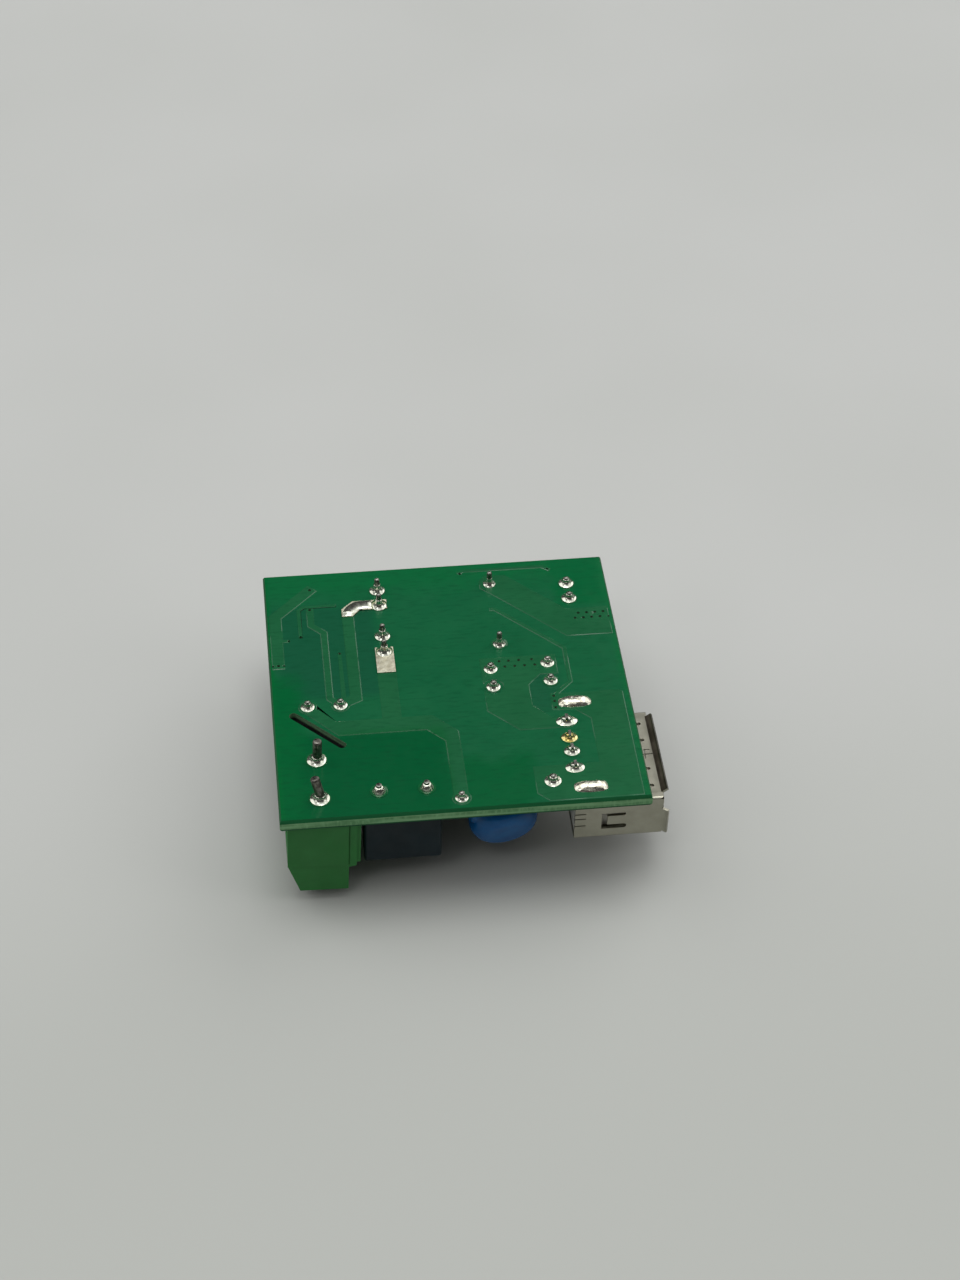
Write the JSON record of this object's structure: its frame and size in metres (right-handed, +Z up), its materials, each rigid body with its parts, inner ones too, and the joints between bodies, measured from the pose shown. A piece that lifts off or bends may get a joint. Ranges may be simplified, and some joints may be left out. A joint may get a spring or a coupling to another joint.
{
  "type": "printed circuit board assembly",
  "caption": "Small mains supply board lying solder side up, with a screw terminal block, fuse, transformer, electrolytic capacitors and a charging port.",
  "frame": {"origin": "on the ground, below the middle of the whole assembly's box", "axes": "+X along the board's front edge towards the charging port's mouth, +Y from the front edge to the back edge, +Z up, out of the solder side"},
  "size_m": [0.0416, 0.0384, 0.0166],
  "materials": {
    "laminate": "green solder mask over woven glass laminate, satin gloss",
    "masked_copper": "copper under green solder mask, satin gloss",
    "tin": "hot-levelled tin, softly uneven",
    "solder": "bright solder",
    "lead_wire": "tinned wire, satin",
    "green_plastic": "moulded, matt",
    "brass": "plated, satin",
    "screw_steel": "zinc plated, satin",
    "black_plastic": "moulded, matt",
    "blue_coating": "dipped resin, glossy",
    "bobbin_plastic": "moulded, matt",
    "ferrite": "sintered, fine grained",
    "copper_wire": "enamelled, glossy",
    "yellow_tape": "polyester film, glossy",
    "can_aluminium": "drawn, satin",
    "dark_sleeve": "shrunk film, glossy",
    "rubber": "moulded, matt",
    "nickel_shell": "nickel plated sheet, satin",
    "white_plastic": "moulded, matt",
    "red_lens": "tinted resin, glossy",
    "ceramic": "fired ceramic, matt"
  },
  "bodies": {
    "root": {"circuit_board": "laminate", "solder_side_tracks": "masked_copper", "component_side_tracks": "masked_copper", "tinned_tracks": "tin", "terminal_solder": "solder", "fuse_solder": "solder", "capacitor_solder": "solder", "transformer_solder": "solder", "port_solder": "solder", "lamp_solder": "solder", "terminal_housing": "green_plastic", "terminal_cages": "brass", "terminal_pins": "lead_wire", "terminal_screw_front": "screw_steel", "terminal_screw_back": "screw_steel", "fuse_case": "black_plastic", "fuse_base": "black_plastic", "fuse_leads": "lead_wire", "fuse_link": "lead_wire", "suppression_disc": "blue_coating", "suppression_leads": "lead_wire", "transformer_bobbin": "bobbin_plastic", "transformer_core_lower": "ferrite", "transformer_core_upper": "ferrite", "transformer_winding": "copper_wire", "winding_tape": "yellow_tape", "core_tape": "yellow_tape", "primary_pins": "lead_wire", "secondary_pins": "lead_wire", "bulk_can": "can_aluminium", "bulk_sleeve": "dark_sleeve", "bulk_seal": "rubber", "bulk_leads": "lead_wire", "output_can_left": "can_aluminium", "output_sleeve_left": "dark_sleeve", "output_seal_left": "rubber", "output_leads_left": "lead_wire", "output_can_right": "can_aluminium", "output_sleeve_right": "dark_sleeve", "output_seal_right": "rubber", "output_leads_right": "lead_wire", "port_shell": "nickel_shell", "port_insulator": "white_plastic", "port_contacts": "brass", "lamp_lens": "red_lens", "lamp_leads": "lead_wire", "bridge_rectifier": "black_plastic", "bridge_leads": "lead_wire", "controller_chip": "black_plastic", "controller_leads": "lead_wire", "output_diode": "black_plastic", "output_diode_leads": "lead_wire", "clamp_diode": "black_plastic", "clamp_diode_leads": "lead_wire", "chip_resistors": "black_plastic", "chip_resistor_ends": "lead_wire", "chip_capacitors": "ceramic", "chip_capacitor_ends": "lead_wire"}
  },
  "joints": []
}
